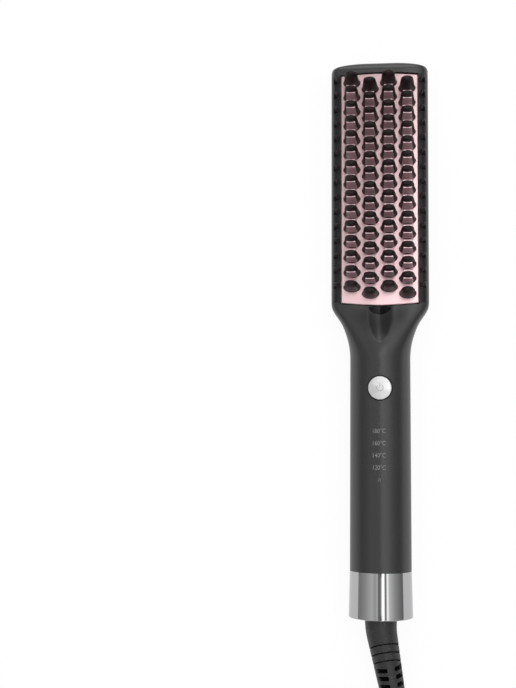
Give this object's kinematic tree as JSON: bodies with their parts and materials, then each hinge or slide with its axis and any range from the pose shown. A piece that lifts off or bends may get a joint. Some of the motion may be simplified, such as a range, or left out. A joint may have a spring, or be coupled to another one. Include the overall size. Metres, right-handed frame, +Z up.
{
  "type": "heated straightening brush",
  "caption": "Handheld heated hair comb with a heated plate, sleeved bristles, guard teeth, power button, swivel cord and two-pin plug.",
  "frame": {"origin": "under the middle of the comb's length, on the surface that its back rests on", "axes": "+Z up out of the bristle side, +Y along the comb towards the head's tip, +X to its right"},
  "size_m": [0.0636, 0.4956, 0.0406],
  "materials": {
    "casing_black": "satin moulded",
    "sleeve_black": "soft satin",
    "plate_coating": "rose-gold ceramic coating",
    "ring_chrome": "polished",
    "button_silver": "satin",
    "outlet_grey": "satin",
    "film_amber": "film",
    "electrode_metal": "rolled",
    "stone_grey": "fired ceramic",
    "shield_mica": "pressed mica",
    "screw_steel": "zinc plated",
    "board_green": "solder mask",
    "component_black": "moulded",
    "light_clear": "frosted",
    "contact_brass": "turned",
    "lead_red": "silicone",
    "cord_rubber": "satin",
    "tie_fabric": "woven",
    "pin_nickel": "nickel plated"
  },
  "bodies": {
    "brush": {"rear_housing": "casing_black", "front_housing": "casing_black", "right_comb_rail": "casing_black", "left_comb_rail": "casing_black", "end_cap": "casing_black", "heating_plate": "plate_coating", "heat_teeth": "plate_coating", "bristle_sleeves_1": "sleeve_black", "bristle_sleeves_2": "sleeve_black", "bristle_sleeves_3": "sleeve_black", "bristle_sleeves_4": "sleeve_black", "end_row_sleeves": "sleeve_black", "outlet_insert": "outlet_grey", "ion_emitter": "component_black", "insulation_film_upper": "film_amber", "electrode_upper": "electrode_metal", "electrode_lower": "electrode_metal", "insulation_film_lower": "film_amber", "ptc_stones": "stone_grey", "clamp_plate": "electrode_metal", "clamp_screws": "screw_steel", "heat_shield": "shield_mica", "thermistor": "component_black", "thermal_fuse": "electrode_metal", "control_board": "board_green", "board_screws": "screw_steel", "housing_screws": "screw_steel", "tact_switch": "component_black", "indicator_lights": "light_clear", "light_guide": "light_clear", "controller_chip": "component_black", "triac": "component_black", "film_capacitor": "film_amber", "chrome_ring": "ring_chrome", "tail_bush": "casing_black", "contact_block": "component_black", "contact_brushes": "contact_brass", "supply_leads": "lead_red", "heater_leads": "lead_red", "sensor_leads": "lead_red"},
    "button": {"power_button": "button_silver", "switch_plunger": "component_black"},
    "cord": {"swivel_collar": "component_black", "slip_rings": "contact_brass", "cord_core": "cord_rubber", "cord_guard": "cord_rubber", "power_cord": "cord_rubber", "cord_tail": "cord_rubber", "cord_hank": "cord_rubber", "cord_tie": "tie_fabric", "plug_body": "cord_rubber", "plug_pins": "pin_nickel"}
  },
  "joints": [
    {"name": "power_button", "type": "slide", "parent": "brush", "child": "button", "axis": [0, 0, -1], "range_m": [0, 0.0006], "stiffness_N_per_m": 1500},
    {"name": "cord_swivel", "type": "hinge", "parent": "brush", "child": "cord", "pos_m": [0, -0.135, 0.01595], "axis": [0, 1, 0], "continuous": true}
  ]
}
